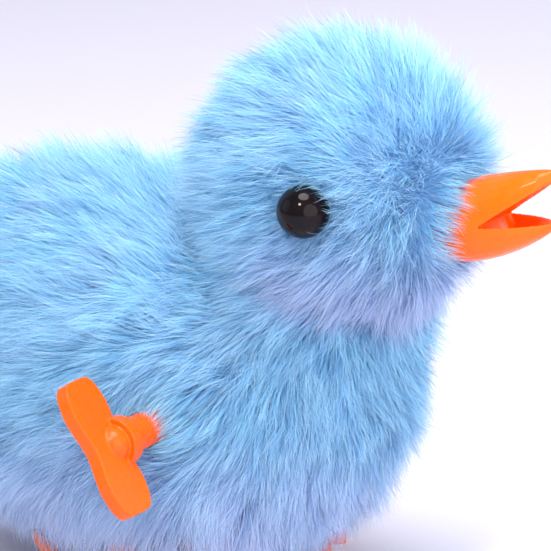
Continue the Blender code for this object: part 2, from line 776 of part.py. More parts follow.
def make_cranks():
    radius, near, far = CRANK_DISC
    place = (CRANK_AXIS[0], 0, CRANK_AXIS[1])
    for side, word in ((1, "left"), (-1, "right")):
        disc = shaft(radius, *sorted((side * near, side * far)), count=ROUND)
        crank = add_part(f"crank_{word}", disc, GEAR, place)
        pin = sorted((side * (near + 0.0004), side * CRANK_PIN_END))
        combine(crank, "UNION", shaft(CRANK_PIN, *pin, (0, THROW)))
        hole = sorted((side * (near - 0.001), side * (far + 0.0003)))
        combine(crank, "DIFFERENCE", shaft(CRANK_AXLE + SHAFT_GAP, *hole))
        radius_cap, low, high = PIN_CAP
        ends = sorted((side * low, side * high))
        loops = [circle((0, THROW), radius_cap, 20), circle((0, THROW), CRANK_PIN + SHAFT_GAP, 16)]
        add_part(f"pin_cap_{word}", sheet(loops, *ends, "pin_cap"), GEAR, place)


def foot_outline():
    """The sole: three toes spread in front of a round palm and a short heel behind."""
    points = []
    count = 72
    for i in range(count):
        angle = -math.pi + 2 * math.pi * i / count
        reach = PALM_REACH
        for toe in TOE_ANGLES:
            reach += (TOE_REACH - PALM_REACH) * math.exp(-(((angle - toe) / TOE_WIDTH) ** 2))
        back = math.pi - abs(angle)
        reach += (HEEL_REACH - PALM_REACH) * math.exp(-((back / (2.2 * TOE_WIDTH)) ** 2))
        points.append((reach * math.cos(angle), reach * math.sin(angle)))
    return points


def make_legs():
    """Each leg is one moulding: strip, guide eye above, pin hole, foot and heel spur below."""
    pin_z = CRANK_AXIS[1] + THROW
    eye_z = GUIDE_Z + THROW
    for side, word in ((1, "left"), (-1, "right")):
        ends = sorted((side * LEG_Y[0], side * LEG_Y[1]))
        place = (CRANK_AXIS[0], 0, pin_z)
        half = LEG_WIDTH / 2
        strip = hull([(0, SOLE * 0.5 - pin_z + half, half), (0, eye_z - pin_z, half)], 0.0, 16)
        leg = add_part(f"leg_{word}", sheet([strip], *ends, "leg"), ORANGE, place)
        boss = sorted((side * (LEG_Y[0] - 0.0001), side * (LEG_Y[1] + 0.00012)))
        combine(leg, "UNION", shaft(LEG_EYE[0], *boss, (0, eye_z - pin_z), ROUND))
        combine(leg, "UNION", shaft(LEG_WIDTH * 0.72, *boss, (0, 0), 20))
        sole = sheet([foot_outline()], -SOLE, 0.0)
        sole.transform(Matrix.Rotation(math.radians(-90), 4, "X"))
        sole.transform(Matrix.Translation((0, side * FOOT_Y, -pin_z)))
        combine(leg, "UNION", sole)
        low, high = SPUR
        shift = Vector((0, side * FOOT_Y, -pin_z))
        spur = rod(SPUR_RADII[0], low + shift, high + shift, 12, SPUR_RADII[1])
        combine(leg, "UNION", spur)
        combine(leg, "UNION", ball(SPUR_RADII[1] * 1.04, high + shift, count=12))
        wide = sorted((side * (LEG_Y[0] - 0.001), side * (LEG_Y[1] + 0.001)))
        combine(leg, "DIFFERENCE", shaft(LEG_EYE[1], *wide, (0, eye_z - pin_z), ROUND))
        combine(leg, "DIFFERENCE", shaft(CRANK_PIN + 0.0002, *wide, (0, 0), 16))


def key_outline():
    """The butterfly: two round-ended wings and a narrow waist, long way up, short way along Y."""
    points = []
    count = 48
    for i in range(count):
        angle = 2 * math.pi * i / count
        along, across = math.sin(angle), math.cos(angle)
        out = min(1.0, abs(along) ** 0.8 / KEY_WAIST_END)
        swell = out * out * (3 - 2 * out)
        half = (KEY_WAIST + (KEY_DEPTH - KEY_WAIST) * swell) / 2
        reach = math.copysign(abs(across) ** 0.42, across) * half
        points.append((reach, math.copysign(abs(along) ** 0.8, along) * KEY_SPAN / 2))
    return points


def make_key():
    """Wings, domed barrel and sleeve in one moulding, bored for the arbor."""
    wings = sheet([key_outline()], -KEY_THICKNESS / 2, KEY_THICKNESS / 2, "winding_key")
    wings.transform(Matrix.Rotation(math.radians(90), 4, "Z"))
    wings.transform(Matrix.Translation((0, KEY_MIDDLE_Y, 0)))
    wings.transform(Matrix.Rotation(-KEY_LEAN, 4, "Y"))
    key = add_part("winding_key", wings, ORANGE, (KEY_AXIS[0], 0, KEY_AXIS[1]))
    edge = key.modifiers.new("edge", "BEVEL")
    edge.width = 0.0007
    edge.segments = 2
    edge.angle_limit = math.radians(50)
    combine(key, "UNION", shaft(BARREL, *BARREL_Y, count=20))
    combine(key, "UNION", ball(DOME, (0, DOME_Y, 0), (1, 0.95, 1), 20))
    combine(key, "UNION", shaft(SLEEVE, BARREL_Y[1] - 0.001, SLEEVE_END_Y, count=20))
    combine(key, "DIFFERENCE", shaft(ARBOR + SHAFT_GAP, KEY_BORE_END_Y, SLEEVE_END_Y + 0.002))


def centre_footprint():
    """Moves the whole toy so that the middle of its bounding box stands over the origin."""
    bpy.context.view_layer.update()
    graph = bpy.context.evaluated_depsgraph_get()
    corners = []
    for part in PARTS.objects:
        if part.type == "MESH":
            solid = part.evaluated_get(graph)
            corners += [solid.matrix_world @ Vector(corner) for corner in solid.bound_box]
    for axis in (0, 1):
        along = [corner[axis] for corner in corners]
        ROOT.location[axis] -= (min(along) + max(along)) / 2


make_side_panel("plush_left", 1)
make_side_panel("plush_right", -1)
make_belly()
make_stuffing()
make_eyes()
make_beak()
make_gears()
make_arbors()
make_ratchet()
make_mainspring()
make_case()
make_screws()
make_cranks()
make_legs()
make_key()
centre_footprint()
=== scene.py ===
import json
import math

import bmesh
import bpy
import numpy as np
from mathutils import Matrix, Vector
from mathutils.kdtree import KDTree


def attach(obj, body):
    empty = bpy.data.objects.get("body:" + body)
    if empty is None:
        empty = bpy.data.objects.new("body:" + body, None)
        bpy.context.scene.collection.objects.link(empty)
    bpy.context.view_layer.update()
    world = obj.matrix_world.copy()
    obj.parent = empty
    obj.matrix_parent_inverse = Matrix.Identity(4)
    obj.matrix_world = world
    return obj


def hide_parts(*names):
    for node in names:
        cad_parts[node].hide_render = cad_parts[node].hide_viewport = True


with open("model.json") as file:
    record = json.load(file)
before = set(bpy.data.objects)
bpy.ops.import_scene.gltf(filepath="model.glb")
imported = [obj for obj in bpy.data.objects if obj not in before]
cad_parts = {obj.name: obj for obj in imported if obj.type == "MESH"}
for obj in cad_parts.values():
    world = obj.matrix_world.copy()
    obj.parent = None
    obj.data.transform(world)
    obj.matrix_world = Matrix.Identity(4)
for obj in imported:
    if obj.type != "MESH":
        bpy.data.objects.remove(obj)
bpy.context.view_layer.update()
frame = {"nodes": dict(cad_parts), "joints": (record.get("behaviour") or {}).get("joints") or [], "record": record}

NODES = frame["nodes"]
RECORD = frame["record"]

# ---------------------------------------------------------------- the plush shape, as in the CAD

JOINTS = {joint["name"]: joint for joint in frame["joints"]}
KEY_AXIS = np.array((0.0, 0.0, 0.0320))
SHIFT = np.array(JOINTS["key_wind"]["pos_m"]) - KEY_AXIS
HEART = np.array((0.008, 0.0, 0.051))
FORMS = (
    ((-0.0120, 0.0, 0.0328), (0.0375, 0.0248, 0.0264)),
    ((0.0171, 0.0, 0.0656), (0.0199, 0.0198, 0.0194)),
    ((0.0120, 0.0, 0.0455), (0.0148, 0.0165, 0.0245)),
)
BLEND = 14
TAIL_AIM = np.array((-0.052, 0.0, 0.0055)) / np.linalg.norm((-0.052, 0.0, 0.0055))
TAIL_RISE = 0.0125
TAIL_SPREAD = 0.26
NECK_NORMAL = np.array((0.50, 0.0, 0.87)) / np.linalg.norm((0.50, 0.0, 0.87))
BAY_X = -0.0120
BAY_HALF = (0.0155, 0.0172)
GUSSET_HALF = (0.0235, 0.0206)
BAY_TOP = 0.0250
EYE_TURN = math.radians(76)
EYE_RISE = 0.0010
EYE_RADIUS = 0.0040
EYE_STAND = 0.0017
BEAK_ROOT = np.array((0.0370, 0.0, 0.0632))
BEAK_HALF = 0.0058
BEAK_TOP = (0.0050, 0.0093)
BEAK_BOTTOM = (-0.0068, 0.0000)
BEAK_LENGTH = 0.0166
KEY_SLEEVE = 0.0027

# The pile: its fibres, their lengths and leans, and the waves, in turns per metre, that stir them.
SEED = 236
STRANDS = 240_000
STRAND_STEPS = 4
STRAND_HALF_WIDTH = 0.000027
STRAND_TAPER = np.array((1.0, 1.0, 0.90, 0.62, 0.0))
CLUMPS = 15_000
STRAY_SHARE = 0.10
ROOT_DEPTH = 0.0003
BODY_PILE = 0.0082
HEAD_PILE = 0.0072
PILE_LOW = 0.0035
PILE_HIGH = 0.0084
PILE_LEAN = 0.36
PILE_BEND = 0.72
BEAK_LEAN = 0.30
KEY_LEAN = 0.25
CRIMP = (0.00015, 0.00060)
WIDE_SWIRL = (60, 150)
FINE_SWIRL = (200, 420)
RISE_WAVES = (80, 220)
HUE_WAVES = (40, 110)
CLEAR = 0.00012

# The cloth and the filling
KEY_HOLE = 0.0034
SHANK_HOLE = 0.0032
CLOTH_THICKNESS = 0.0013
FILLING_GRAIN = 0.0011


def unit(v):
    return v / np.maximum(np.linalg.norm(v, axis=-1, keepdims=True), 1e-12)


def smooth(x, low, high):
    t = np.clip((x - low) / (high - low), 0.0, 1.0)
    return t * t * (3 - 2 * t)


def reach(directions):
    """Distance from HEART to the plush's cloth along each unit direction."""
    total = 0.0
    for centre, radii in FORMS:
        start = (HEART - centre) / radii
        way = directions / radii
        a = (way * way).sum(-1)
        b = (way * start).sum(-1)
        c = start @ start - 1.0
        total = total + ((-b + np.sqrt(b * b - a * c)) / a) ** BLEND
    off = np.arccos(np.clip(directions @ TAIL_AIM, -1.0, 1.0))
    return total ** (1 / BLEND) + TAIL_RISE * np.exp(-((off / TAIL_SPREAD) ** 2))


def eye_place(side):
    """Middle of the bead eye, its seat on the cloth and the way it looks."""
    centre, radii = FORMS[1]
    out = np.array((math.cos(EYE_TURN), side * math.sin(EYE_TURN), 0.0))
    way = unit(centre + out * radii + (0.0, 0.0, EYE_RISE) - HEART)
    seat = HEART + way * reach(way[None])[0]
    return seat + out * EYE_STAND, seat, out


def skin_grid(cuts):
    """The cloth as a rounded cube of quads: points in the toy's own frame, and faces."""
    work = bmesh.new()
    bmesh.ops.create_cube(work, size=2.0)
    bmesh.ops.subdivide_edges(work, edges=work.edges, cuts=cuts - 1, use_grid_fill=True)
    bmesh.ops.recalc_face_normals(work, faces=work.faces)
    cube = np.array([v.co for v in work.verts])
    faces = np.array([[v.index for v in f.verts] for f in work.faces])
    work.free()
    way = unit(np.tan(cube * math.pi / 4))
    return HEART + way * reach(way)[:, None], faces


def vertex_normals(points, faces):
    across = np.cross(points[faces[:, 2]] - points[faces[:, 0]], points[faces[:, 3]] - points[faces[:, 1]])
    normals = np.zeros_like(points)
    for corner in range(4):
        np.add.at(normals, faces[:, corner], across)
    return unit(normals)


def in_column(p, half, corner=0.006):
    """True inside an upright rounded column under the belly."""
    qx = np.abs(p[:, 0] - BAY_X) - (half[0] - corner)
    qy = np.abs(p[:, 1]) - (half[1] - corner)
    outside = np.hypot(np.maximum(qx, 0), np.maximum(qy, 0)) - corner + np.minimum(np.maximum(qx, qy), 0)
    return (outside < 0) & (p[:, 2] < BAY_TOP)


def from_beak(p, spare=0.0):
    """How far each point is along the beak, and how far from its middle line in beak half widths."""
    rel = p - BEAK_ROOT
    t = np.clip(rel[:, 0] / BEAK_LENGTH, 0.0, 1.0)
    top = BEAK_TOP[0] + (BEAK_TOP[1] - BEAK_TOP[0]) * t**0.65
    bottom = BEAK_BOTTOM[0] + (BEAK_BOTTOM[1] - BEAK_BOTTOM[0]) * t**1.9
    middle = (top + bottom) / 2
    half = BEAK_HALF * np.maximum(np.maximum(1 - t**3, 0.0) ** 0.8, 0.10) + spare
    away = np.hypot(rel[:, 1] / half, (rel[:, 2] - middle) / ((top - bottom) / 2 + spare))
    return rel[:, 0], away, BEAK_ROOT[2] + middle


# ---------------------------------------------------------------- materials


class Nodes:
    """A material's node tree, with short ways to add and join nodes."""

    def __init__(self, name, colour, roughness, **sockets):
        self.material = bpy.data.materials.new(name)
        self.material.use_nodes = True
        self.tree = self.material.node_tree
        self.shader = self.tree.nodes["Principled BSDF"]
        self.shader.inputs["Base Color"].default_value = (*colour, 1.0)
        self.shader.inputs["Roughness"].default_value = roughness
        for socket, value in sockets.items():
            self.shader.inputs[socket.replace("_", " ")].default_value = value

    def add(self, kind, **inputs):
        node = self.tree.nodes.new("ShaderNode" + kind)
        for name, value in inputs.items():
            self.set(node, name.replace("_", " "), value)
        return node

    def set(self, node, name, value):
        socket = node.inputs[int(name[1:])] if name[0] == "i" and name[1:].isdigit() else node.inputs[name]
        if isinstance(value, bpy.types.NodeSocket):
            self.tree.links.new(value, socket)
        else:
            socket.default_value = value

    def place(self, stretch=(1.0, 1.0, 1.0)):
        """Object coordinates in metres, stretched."""
        mapping = self.add("Mapping", Vector=self.add("TexCoord").outputs["Object"])
        mapping.inputs["Scale"].default_value = stretch
        return mapping.outputs[0]

    def noise(self, scale, detail=3.0, roughness=0.55, stretch=(1.0, 1.0, 1.0)):
        node = self.add("TexNoise", Vector=self.place(stretch), Scale=scale, Detail=detail)
        node.inputs["Roughness"].default_value = roughness
        return node.outputs["Fac"]

    def ramp(self, factor, *stops):
        node = self.add("ValToRGB", Fac=factor)
        elements = node.color_ramp.elements
        while len(elements) < len(stops):
            elements.new(0.5)
        for element, (where, colour) in zip(elements, stops):
            element.position = where
            element.color = (*colour, 1.0)
        return node.outputs["Color"]

    def maths(self, operation, a, b=0.0):
        node = self.add("Math")
        node.operation = operation
        self.set(node, "i0", a)
        self.set(node, "i1", b)
        return node.outputs[0]

    def scaled(self, value, low, high):
        """A 0 to 1 value carried to low to high."""
        return self.maths("ADD", self.maths("MULTIPLY", value, high - low), low)

    def mix(self, a, b, factor, how="MIX"):
        node = self.add("Mix")
        node.data_type = "RGBA"
        node.blend_type = how
        self.set(node, "i0", factor)
        self.set(node, "i6", a)
        self.set(node, "i7", b)
        return node.outputs[2]

    def bump(self, height, distance, strength=1.0):
        node = self.add("Bump", Height=height, Distance=distance, Strength=strength)
        self.set(self.shader, "Normal", node.outputs[0])

    def colour(self, value):
        self.set(self.shader, "Base Color", value)

    def rough(self, value):
        self.set(self.shader, "Roughness", value)


def moulded(name, colour, roughness, drift=0.10, grain=900.0, depth=0.00002, **sockets):
    """Moulded plastic: slow colour drift, fine flow marks and an uneven gloss."""
    m = Nodes(name, colour, roughness, **sockets)
    darker = tuple(c * (1 - drift) for c in colour)
    lighter = tuple(min(1.0, c * (1 + drift * 0.5) + drift * 0.03) for c in colour)
    slow = m.noise(120.0, 2.0)
    flow = m.noise(420.0, 3.0, 0.6, (1.0, 1.0, 0.35))
    m.colour(m.ramp(m.maths("MULTIPLY", m.maths("ADD", slow, flow), 0.5), (0.3, darker), (0.7, lighter)))
    m.rough(m.scaled(m.noise(grain, 4.0), roughness * 0.8, roughness * 1.25))
    m.bump(m.noise(grain * 1.6, 4.0, 0.65), depth, 0.6)
    return m.material


def metal(name, colour, roughness, stretch):
    """Turned or drawn metal with fine scratches along one way."""
    m = Nodes(name, colour, roughness, Metallic=1.0)
    marks = m.noise(1400.0, 4.0, 0.7, stretch)
    stain = m.noise(160.0, 3.0)
    darker = tuple(c * 0.72 for c in colour)
    m.colour(m.ramp(m.maths("MULTIPLY", m.maths("ADD", marks, stain), 0.5), (0.35, darker), (0.65, colour)))
    m.rough(m.scaled(marks, roughness * 0.7, roughness * 1.4))
    m.bump(marks, 0.00001, 0.5)
    return m.material


def fibre_material(name, colour):
    m = Nodes(name, colour, 0.95)
    wisps = m.noise(900.0, 6.0, 0.75, (1.0, 0.4, 1.6))
    m.colour(m.ramp(wisps, (0.3, tuple(c * 0.72 for c in colour)), (0.7, colour)))
    m.bump(wisps, 0.0004, 0.9)
    return m.material


def fur_material():
    """Pile fibres. Attribute strand holds distance from the root, two random numbers and the lilac share, which is
    painted shade on the undersides with random patches.
    """
    m = Nodes("blue_pile", (0.35, 0.62, 0.86), 0.60)
    m.set(m.shader, "Specular IOR Level", 0.22)
    m.set(m.shader, "Sheen Weight", 0.20)
    m.set(m.shader, "Sheen Roughness", 0.5)
    strand = m.add("Attribute")
    strand.attribute_name = "strand"
    split = m.add("SeparateColor", Color=strand.outputs["Color"])
    along, one, many = (split.outputs[i] for i in range(3))
    # Root to tip ramps: darker at the root as painted shade between the fibres, paler at the tip as painted light.
    body = m.ramp(
        along,
        (0.0, (0.070, 0.310, 0.700)),
        (0.40, (0.170, 0.555, 0.900)),
        (1.0, (0.410, 0.800, 0.985)),
    )
    # Lilac ramp: painted lavender shade for the undersides, also darker at the root and paler at the tip.
    lilac = m.ramp(
        along,
        (0.0, (0.180, 0.270, 0.600)),
        (0.4, (0.420, 0.500, 0.840)),
        (1.0, (0.690, 0.700, 0.940)),
    )
    # Mixes in the lilac painted shade by the attribute's alpha.
    base = m.mix(body, lilac, strand.outputs["Alpha"])
    pale = m.mix(base, (0.66, 0.85, 0.97, 1.0), m.maths("MULTIPLY", m.maths("POWER", one, 4.0), 0.75))
    deep = m.mix(pale, (0.05, 0.22, 0.52, 1.0), m.maths("MULTIPLY", m.maths("POWER", many, 2.0), 0.56))
    m.colour(deep)
    return m.material


def cloth_material():
    """The knitted backing that the pile grows from, seen only between the fibres."""
    m = Nodes("plush_backing", (0.16, 0.38, 0.66), 0.95, Sheen_Weight=0.3)
    loops = m.noise(2600.0, 3.0, 0.6)
    patches = m.noise(260.0, 3.0)
    shade = m.maths("MULTIPLY", m.maths("ADD", loops, patches), 0.5)
    m.colour(m.ramp(shade, (0.3, (0.09, 0.24, 0.46)), (0.7, (0.24, 0.50, 0.78))))
    m.bump(loops, 0.0002, 0.8)
    return m.material


def bead_material():
    """Black glass bead: nearly black, with faint brown depth and the odd fine scratch."""
    m = Nodes("black_bead", (0.006, 0.004, 0.005), 0.05, Specular_IOR_Level=0.16)
    depth = m.noise(300.0, 2.0)
    m.colour(m.ramp(depth, (0.35, (0.003, 0.003, 0.004)), (0.75, (0.012, 0.005, 0.005))))
    m.rough(m.scaled(m.noise(2400.0, 5.0, 0.7, (1.0, 1.0, 0.2)), 0.03, 0.10))
    return m.material


GLOSS = {"Specular_IOR_Level": 0.24, "Coat_Weight": 0.05, "Coat_Roughness": 0.12}
ORANGE = moulded("orange_plastic", (1.0, 0.142, 0.0), 0.27, 0.07, 700.0, 0.00003, **GLOSS)
ORANGE_KEY = moulded("orange_key", (1.0, 0.112, 0.0), 0.27, 0.07, 700.0, 0.00003, **GLOSS)
ORANGE_MATTE = moulded("orange_foot", (1.0, 0.170, 0.008), 0.36, 0.10, 900.0, 0.00003)
WASHER = moulded("white_washer", (0.80, 0.80, 0.76), 0.45, 0.06)
CASE = moulded("case_plastic", (0.74, 0.74, 0.68), 0.42, 0.08, 600.0, 0.00003)
GEAR = moulded("gear_plastic", (0.84, 0.80, 0.68), 0.40, 0.08, 900.0)
STEEL = metal("steel", (0.62, 0.62, 0.64), 0.28, (1.0, 0.05, 1.0))
SPRING = metal("spring_steel", (0.30, 0.33, 0.40), 0.32, (0.2, 0.2, 1.0))
BEAD = bead_material()
FIBRE = fibre_material("white_fibre", (0.88, 0.88, 0.85))
BACKING = cloth_material()
PILE = fur_material()

SLOT_MATERIALS = {
    "orange_plastic": ORANGE,
    "black_bead": BEAD,
    "white_washer": WASHER,
    "case_plastic": CASE,
    "gear_plastic": GEAR,
    "steel": STEEL,
    "spring_steel": SPRING,
    "white_fibre": FIBRE,
    "blue_plush": BACKING,
}


def dress_nodes():
    """Every CAD node gets the material of its record slot, at its own moulded detail."""
    for part in RECORD["subparts"]:
        node = NODES[part["node"]]
        material = SLOT_MATERIALS[part["material_slot"]]
        if part["node"].startswith("leg_"):
            material = ORANGE_MATTE
        node.data.materials.clear()
        node.data.materials.append(material)


# ---------------------------------------------------------------- pieces


def add_piece(name, points, faces, material, body, nodes=()):
    """A mesh given in the row frame, as a piece that rides on a body."""
    mesh = bpy.data.meshes.new(name)
    mesh.from_pydata([tuple(p) for p in points], [], [tuple(f) for f in faces])
    mesh.materials.append(material)
    mesh.shade_smooth()
    piece = bpy.data.objects.new(name, mesh)
    bpy.context.scene.collection.objects.link(piece)
    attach(piece, body)
    if nodes:
        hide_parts(*nodes)
    return piece


def apply_modifiers(piece):
    graph = bpy.context.evaluated_depsgraph_get()
    mesh = bpy.data.meshes.new_from_object(piece.evaluated_get(graph))
    piece.modifiers.clear()
    piece.data = mesh


def make_backing():
    """The three cloth panels under the pile, cut as in the CAD, each thickened to the cloth's thickness with its
    cut edges closed.
    """
    points, faces = skin_grid(56)
    normals = vertex_normals(points, faces)
    middle = points[faces].mean(1)
    bay = in_column(middle, BAY_HALF)
    gusset = in_column(middle, GUSSET_HALF) & ~bay
    beak = (np.hypot(middle[:, 1], middle[:, 2] - BEAK_ROOT[2]) < SHANK_HOLE) & (middle[:, 0] > 0.03)
    key = (np.hypot(middle[:, 0], middle[:, 2] - KEY_AXIS[2]) < KEY_HOLE) & (middle[:, 1] < 0)
    rest = ~(bay | gusset | beak | key)
    rng = np.random.default_rng(SEED)
    lumps = 0.00025 * np.sin(points @ rng.normal(size=(3, 6)) * 900).sum(1) / 6
    sunk = points + normals * (lumps - 0.0002)[:, None]
    for name, chosen, node in (
        ("plush_left_cloth", rest & (middle[:, 1] > 0), "plush_left"),
        ("plush_right_cloth", rest & (middle[:, 1] < 0), "plush_right"),
        ("plush_belly_cloth", gusset, "plush_belly"),
    ):
        used, index = np.unique(faces[chosen], return_inverse=True)
        piece = add_piece(
            name, sunk[used] + SHIFT, index.reshape(-1, 4), BACKING, "chick", (node,)
        )
        shell = piece.modifiers.new("thickness", "SOLIDIFY")
        shell.thickness = CLOTH_THICKNESS
        shell.offset = -1.0
        apply_modifiers(piece)


def make_filling():
    """Loose fibre filling: the CAD solids, closed up finely and pulled into wads."""
    for node in ("head_stuffing", "body_stuffing"):
        source = NODES[node]
        mesh = source.data.copy()
        mesh.materials.clear()
        mesh.materials.append(FIBRE)
        name = node.replace("stuffing", "fibre")
        piece = bpy.data.objects.new(name, mesh)
        bpy.context.scene.collection.objects.link(piece)
        closer = piece.modifiers.new("even", "REMESH")
        closer.mode = "VOXEL"
        closer.voxel_size = FILLING_GRAIN
        apply_modifiers(piece)
        points = np.array([v.co for v in piece.data.vertices])
        normals = np.array([v.normal for v in piece.data.vertices])
        rng = np.random.default_rng(SEED + 1)
        waves = np.sin(points @ rng.normal(size=(3, 9)) * 700 + rng.uniform(0, 6, 9)).sum(1) / 9
        moved = points + normals * (-0.00045 + 0.0009 * (waves - 0.5))[:, None]
        piece.data.vertices.foreach_set("co", moved.astype(np.float32).ravel())
        piece.data.materials.clear()
        piece.data.materials.append(FIBRE)
        piece.data.shade_smooth()
        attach(piece, "chick")
        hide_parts(node)


def make_moulded(node, body, grain, melt, material):
    """A moulding's CAD solid, resampled finely and eased so that its edges are softly rounded."""
    piece = bpy.data.objects.new(f"{node}_moulding", NODES[node].data.copy())
    bpy.context.scene.collection.objects.link(piece)
    resample = piece.modifiers.new("even", "REMESH")
    resample.mode = "VOXEL"
    resample.voxel_size = grain
    ease = piece.modifiers.new("ease", "SMOOTH")
    ease.factor = 0.5
    ease.iterations = melt
    apply_modifiers(piece)
    piece.data.materials.clear()
    piece.data.materials.append(material)
    piece.data.shade_smooth()
    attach(piece, body)
    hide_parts(node)


def make_bead(side, word):
    """A bead eye turned from its profile: dome, flat back and stem."""
    centre, _, out = eye_place(side)
    node = NODES[f"eye_{word}"]
    low = -(EYE_STAND - 0.0004)
    edge = math.sqrt(EYE_RADIUS**2 - low**2)
    tail = -(EYE_STAND + 0.0075)
    start = math.asin(low / EYE_RADIUS)
    profile = [(0.0, tail), (0.0008, tail), (0.0010, tail + 0.0003), (0.0010, low - 0.0004), (0.0013, low)]
    profile += [(edge - 0.0003, low), (edge - 0.00008, low + 0.00004)]
    for i in range(25):
        a = start + 0.02 + (math.pi / 2 - start - 0.02) * i / 24
        profile.append((EYE_RADIUS * math.cos(a) if i < 24 else 0.0, EYE_RADIUS * math.sin(a)))
    turn = Vector((0, 0, 1)).rotation_difference(Vector(out)).to_matrix()
    around = 64
    points = []
    for r, z in profile:
        for k in range(around):
            a = 2 * math.pi * k / around
            points.append(turn @ Vector((r * math.cos(a), r * math.sin(a), z)) + Vector(centre + SHIFT))
    faces = []
    for i in range(len(profile) - 1):
        for k in range(around):
            j = (k + 1) % around
            a, b = i * around, (i + 1) * around
            faces.append((a + k, a + j, b + j, b + k))
    piece = add_piece(f"bead_{word}", points, faces, BEAD, "chick", (node.name,))
    work = bmesh.new()
    work.from_mesh(piece.data)
    bmesh.ops.remove_doubles(work, verts=work.verts, dist=1e-7)
    bmesh.ops.recalc_face_normals(work, faces=work.faces)
    work.to_mesh(piece.data)
    work.free()


# ---------------------------------------------------------------- pile


def drift(p, rng, waves, count):
    """A smooth random direction at each point, for the pile's swirls and partings."""
    push = np.zeros_like(p)
    for _ in range(count):
        way = unit(rng.normal(size=3))
        axis = unit(rng.normal(size=3))
        turn = 2 * math.pi * rng.uniform(*waves)
        push += axis * np.sin(p @ way * turn + rng.uniform(0, 6.28))[:, None]
    return push / math.sqrt(count)


def flow(p, n):
    """The way the pile lies at each point: back from the beak, down the chest, back along the body."""
    from_face = unit(p - (BEAK_ROOT + np.array((0.004, 0.0, 0.001))))
    head_way = unit(from_face * np.array((1.0, 1.0, 0.80)) + np.array((-0.30, 0.0, -0.30)))
    chest_way = np.array((-0.30, 0.0, -1.0))
    body_way = np.array((-1.0, 0.0, -0.38))
    on_head = smooth((p - HEART) @ NECK_NORMAL, -0.004, 0.006)[:, None]
    on_chest = smooth(p[:, 0], -0.006, 0.018)[:, None]
    low_way = unit(on_chest * chest_way + (1 - on_chest) * body_way)
    hang = 1 - smooth(p[:, 2], 0.016, 0.030)[:, None]
    low_way = unit(low_way * (1 - hang) + np.array((-0.12, 0.0, -1.0)) * hang)
    way = on_head * head_way + (1 - on_head) * low_way
    side = np.cross(n, way)
    return unit(np.cross(side, n))


def beak_nearness(p):
    """One beside the beak, falling to zero away from it."""
    return 1 - smooth(np.linalg.norm((p - BEAK_ROOT) * (1.0, 1.0, 0.88), axis=1), 0.0058, 0.0105)


def eye_nearness(p):
    """One beside the eyes, falling to zero away from them."""
    seats = [eye_place(side)[1] for side in (1, -1)]
    far = np.min([np.linalg.norm(p - seat, axis=1) for seat in seats], 0)
    return 1 - smooth(far, 0.0042, 0.0085)


def key_nearness(p):
    """One beside the key's sleeve, falling to zero away from it."""
    sleeve = np.hypot(p[:, 0], p[:, 2] - KEY_AXIS[2])
    return np.where(p[:, 1] < 0, 1 - smooth(sleeve, 0.0035, 0.0100), 0.0)


def pile_length(p):
    head = smooth((p - HEART) @ NECK_NORMAL, -0.003, 0.004)
    length = BODY_PILE + (HEAD_PILE - BODY_PILE) * head
    chest = smooth(p[:, 0], 0.004, 0.020) * (1 - head) * smooth(p[:, 2], 0.013, 0.026)
    length = length * (1 - 0.24 * chest)
    length = length * (1 - 0.20 * beak_nearness(p)) * (1 - 0.42 * eye_nearness(p))
    length = length * (1 + 0.20 * key_nearness(p))
    rim = in_column(p, (BAY_HALF[0] + 0.0080, BAY_HALF[1] + 0.0060))
    return np.where(rim, length * 1.50, length)


def scatter(count, rng):
    """Points spread evenly over the cloth, with their normals."""
    points, faces = skin_grid(64)
    normals = vertex_normals(points, faces)
    corners = points[faces]
    area = np.linalg.norm(np.cross(corners[:, 2] - corners[:, 0], corners[:, 3] - corners[:, 1]), axis=1)
    steps = np.cumsum(area)
    pick = np.searchsorted(steps, (np.arange(count) + rng.uniform(size=count)) / count * steps[-1])
    pick = np.minimum(pick, len(faces) - 1)
    u, v = rng.uniform(size=(2, count, 1))
    weights = ((1 - u) * (1 - v), u * (1 - v), u * v, (1 - u) * v)
    p = sum(w * points[faces[pick, i]] for i, w in enumerate(weights))
    n = unit(sum(w * normals[faces[pick, i]] for i, w in enumerate(weights)))
    return p, n


def grows(p):
    """True where pile grows: not in the openings nor under the eyes and beak."""
    _, away, _ = from_beak(p)
    keep = ~in_column(p, (BAY_HALF[0] + 0.0006, BAY_HALF[1] + 0.0006))
    keep &= ~((away < 0.99) & (p[:, 0] > 0.030))
    sleeve = np.hypot(p[:, 0], p[:, 2] - KEY_AXIS[2])
    keep &= ~((p[:, 1] < 0) & (sleeve < 0.0035))
    for side in (1, -1):
        _, seat, _ = eye_place(side)
        keep &= np.linalg.norm(p - seat, axis=1) > 0.0034
    return keep


def push_clear(p):
    """Moves fibre points out of the eyes, the beak and the key's sleeve."""
    for side in (1, -1):
        centre, _, _ = eye_place(side)
        rel = p - centre
        far = np.linalg.norm(rel, axis=1, keepdims=True)
        p = np.where(far < EYE_RADIUS + CLEAR, centre + rel / far * (EYE_RADIUS + CLEAR), p)
    along, away, height = from_beak(p, 0.0002)
    middle = np.stack([p[:, 0], np.zeros(len(p)), height], 1)
    inside = (away < 1) & (along > -0.004) & (along < BEAK_LENGTH)
    p = np.where(inside[:, None], middle + (p - middle) / np.maximum(away, 1e-3)[:, None], p)
    rel = p - KEY_AXIS
    rel[:, 1] = 0
    far = np.linalg.norm(rel, axis=1, keepdims=True)
    clear = KEY_SLEEVE + 0.00025
    hit = (far < clear) & (p[:, 1:2] < -0.010)
    return np.where(hit, p - rel + rel / np.maximum(far, 1e-9) * clear, p)


def nearest_clump(roots, clumps):
    tree = KDTree(len(clumps))
    for i, c in enumerate(clumps):
        tree.insert(c, i)
    tree.balance()
    return np.array([tree.find(r)[1] for r in roots.tolist()])


